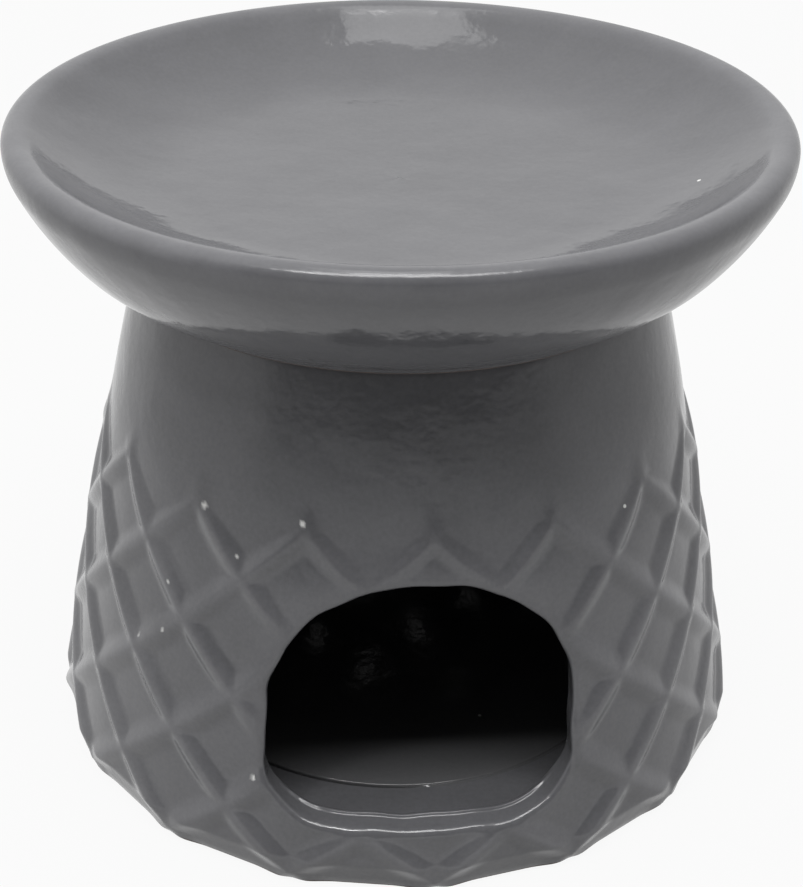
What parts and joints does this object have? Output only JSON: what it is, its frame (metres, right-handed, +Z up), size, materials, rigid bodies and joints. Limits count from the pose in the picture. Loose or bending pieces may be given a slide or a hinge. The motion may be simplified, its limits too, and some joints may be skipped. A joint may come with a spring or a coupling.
{
  "type": "essential oil burner",
  "caption": "Glazed ceramic essential oil burner: tapered body with a diamond lattice and a candle window, and a shallow lift-off oil dish on top.",
  "frame": {"origin": "middle of the resting face, on the body's axis", "axes": "+Z up along the body's axis, -Y out of the candle window"},
  "size_m": [0.12, 0.12, 0.1048],
  "materials": {
    "body_glaze": "glossy mid-grey glaze over a pressed diamond lattice, bare at the foot",
    "floor_glaze": "glossy mid-grey glaze, thinner and darker inside the chamber",
    "dish_glaze": "glossy mid-grey glaze with fine speckle"
  },
  "bodies": {
    "body": {"burner_body": "body_glaze", "floor_disc": "floor_glaze"},
    "dish": {"oil_dish": "dish_glaze"}
  },
  "joints": [
    {"name": "dish_lift", "type": "slide", "parent": "body", "child": "dish", "axis": [0, 0, 1], "range_m": [0, 0.05]}
  ]
}
